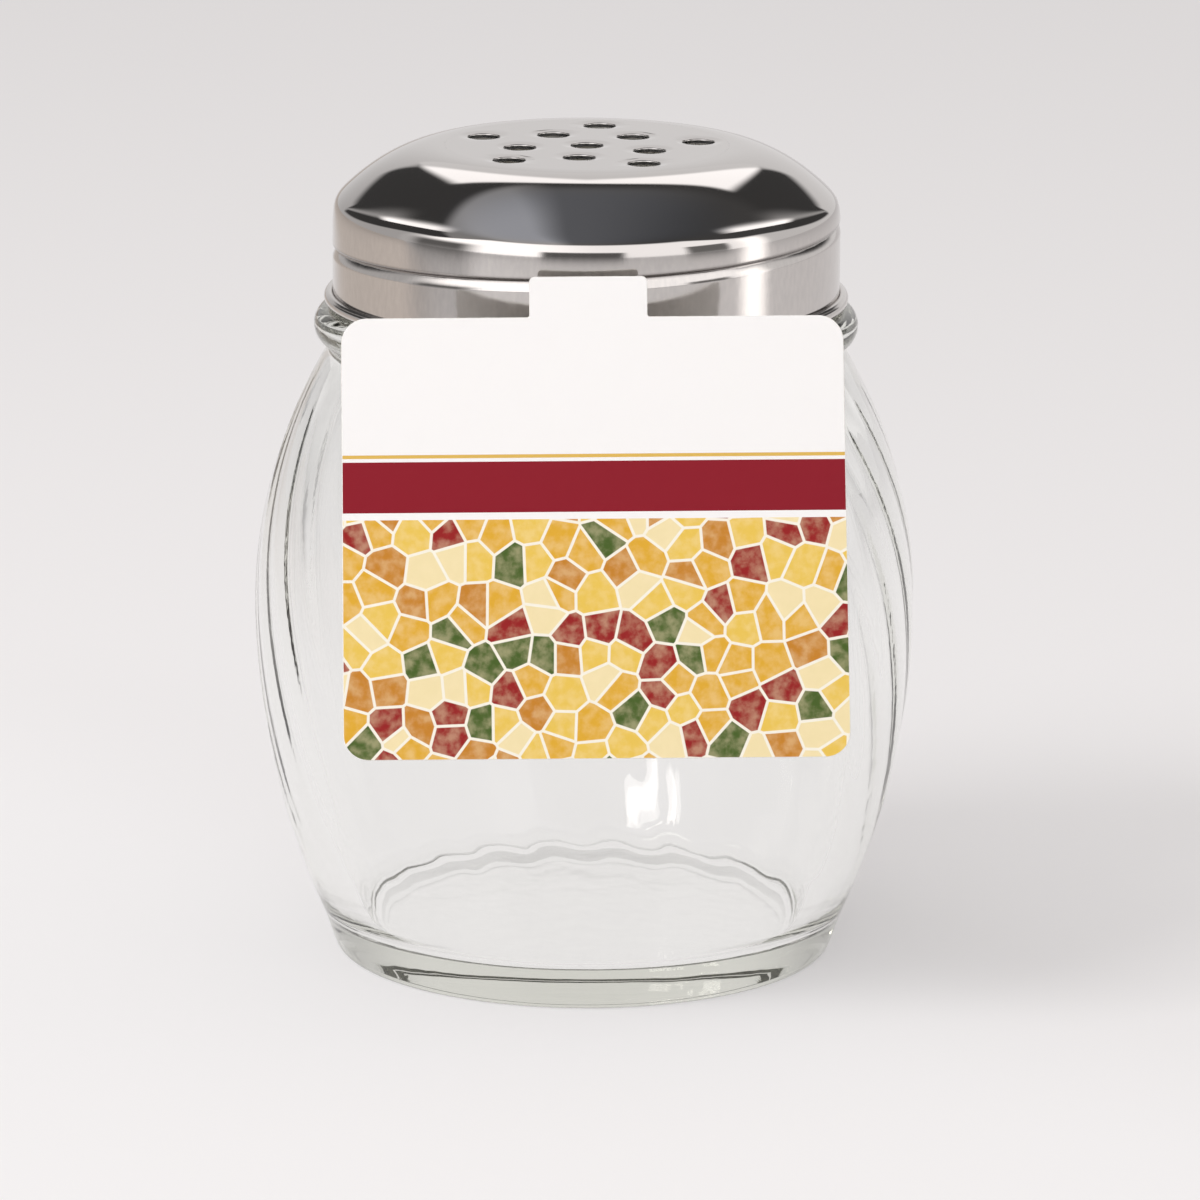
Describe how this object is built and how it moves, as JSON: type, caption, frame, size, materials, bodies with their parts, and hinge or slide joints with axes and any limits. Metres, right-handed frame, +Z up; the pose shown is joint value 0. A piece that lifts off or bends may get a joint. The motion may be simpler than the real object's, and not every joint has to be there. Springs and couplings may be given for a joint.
{
  "type": "cheese shaker",
  "caption": "Barrel-shaped swirl glass jar with a screw-on pressed steel lid perforated for shaking grated cheese, and a stiff printed card on its front.",
  "frame": {"origin": "centre of the foot ring, on the surface that the jar stands on", "axes": "+Z up along the axis of the jar and of the screw thread, -Y towards the card on the front, +X to the right seen from the front"},
  "size_m": [0.0762, 0.0799, 0.0941],
  "materials": {
    "clear_glass": "clear pressed glass, faint green tint",
    "polished_steel": "polished stainless sheet",
    "soft_seal": "matte white liner",
    "printed_card": "coated card, satin",
    "clear_glue": "clear hot-melt glue"
  },
  "bodies": {
    "jar": {"glass_jar": "clear_glass", "front_label": "printed_card", "label_adhesive": "clear_glue"},
    "seal": {"rim_seal": "soft_seal"},
    "lid": {"shaker_lid": "polished_steel"}
  },
  "joints": [
    {"name": "lid_lift", "type": "slide", "parent": "jar", "child": "seal", "axis": [0, 0, 1], "range_m": [0, 0.0106]},
    {"name": "lid_turn", "type": "hinge", "parent": "seal", "child": "lid", "pos_m": [0, 0, 0.0864], "axis": [0, 0, 1], "range_deg": [0, 600]}
  ],
  "couplings": [
    {"joint": "lid_lift", "follows": "lid_turn", "m_per_rad": 0.0010106}
  ]
}
